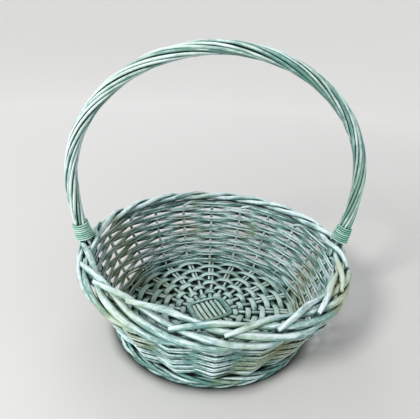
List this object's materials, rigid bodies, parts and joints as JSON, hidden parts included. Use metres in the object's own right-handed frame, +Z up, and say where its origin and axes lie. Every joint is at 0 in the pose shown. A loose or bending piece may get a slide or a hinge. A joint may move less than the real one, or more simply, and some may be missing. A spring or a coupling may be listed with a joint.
{
  "type": "wicker handled basket",
  "caption": "Round painted wicker basket with flared woven wall, plaited border and a fixed arched handle wrapped in twisted rods.",
  "frame": {"origin": "centre of the base on the surface that the basket stands on", "axes": "+Z up, X across the handle from foot to foot, Y along the line of sight through the arch"},
  "size_m": [0.3184, 0.3004, 0.3118],
  "materials": {
    "stake_paint": "painted and washed with white",
    "weave_paint": "painted and washed with white",
    "base_paint": "painted and worn",
    "handle_paint": "painted and worn",
    "binding_paint": "painted cane"
  },
  "bodies": {
    "root": {"base_stick_01": "base_paint", "base_stick_02": "base_paint", "base_stick_03": "base_paint", "base_stick_04": "base_paint", "base_stick_05": "base_paint", "base_stick_06": "base_paint", "base_cross_stick_01": "base_paint", "base_cross_stick_02": "base_paint", "base_cross_stick_03": "base_paint", "base_cross_stick_04": "base_paint", "base_strip_01": "base_paint", "base_strip_02": "base_paint", "base_strip_03": "base_paint", "base_strip_04": "base_paint", "base_strip_05": "base_paint", "base_strip_06": "base_paint", "foot_wale": "weave_paint", "stake_01": "stake_paint", "stake_02": "stake_paint", "stake_03": "stake_paint", "stake_04": "stake_paint", "stake_05": "stake_paint", "stake_06": "stake_paint", "stake_07": "stake_paint", "stake_08": "stake_paint", "stake_09": "stake_paint", "stake_10": "stake_paint", "stake_11": "stake_paint", "stake_12": "stake_paint", "stake_13": "stake_paint", "stake_14": "stake_paint", "stake_15": "stake_paint", "stake_16": "stake_paint", "stake_17": "stake_paint", "stake_18": "stake_paint", "stake_19": "stake_paint", "stake_20": "stake_paint", "wall_weave_01": "weave_paint", "wall_weave_02": "weave_paint", "wall_weave_03": "weave_paint", "wall_weave_04": "weave_paint", "wall_weave_05": "weave_paint", "wall_weave_06": "weave_paint", "wall_weave_07": "weave_paint", "handle_bow": "handle_paint", "handle_strand_01": "handle_paint", "handle_strand_02": "handle_paint", "handle_strand_03": "handle_paint", "handle_strand_04": "handle_paint", "handle_strand_05": "handle_paint", "handle_strand_06": "handle_paint", "handle_strand_07": "handle_paint", "handle_strand_08": "handle_paint", "handle_strand_09": "handle_paint", "handle_strand_10": "handle_paint", "binding_left": "binding_paint", "binding_right": "binding_paint"}
  },
  "joints": []
}
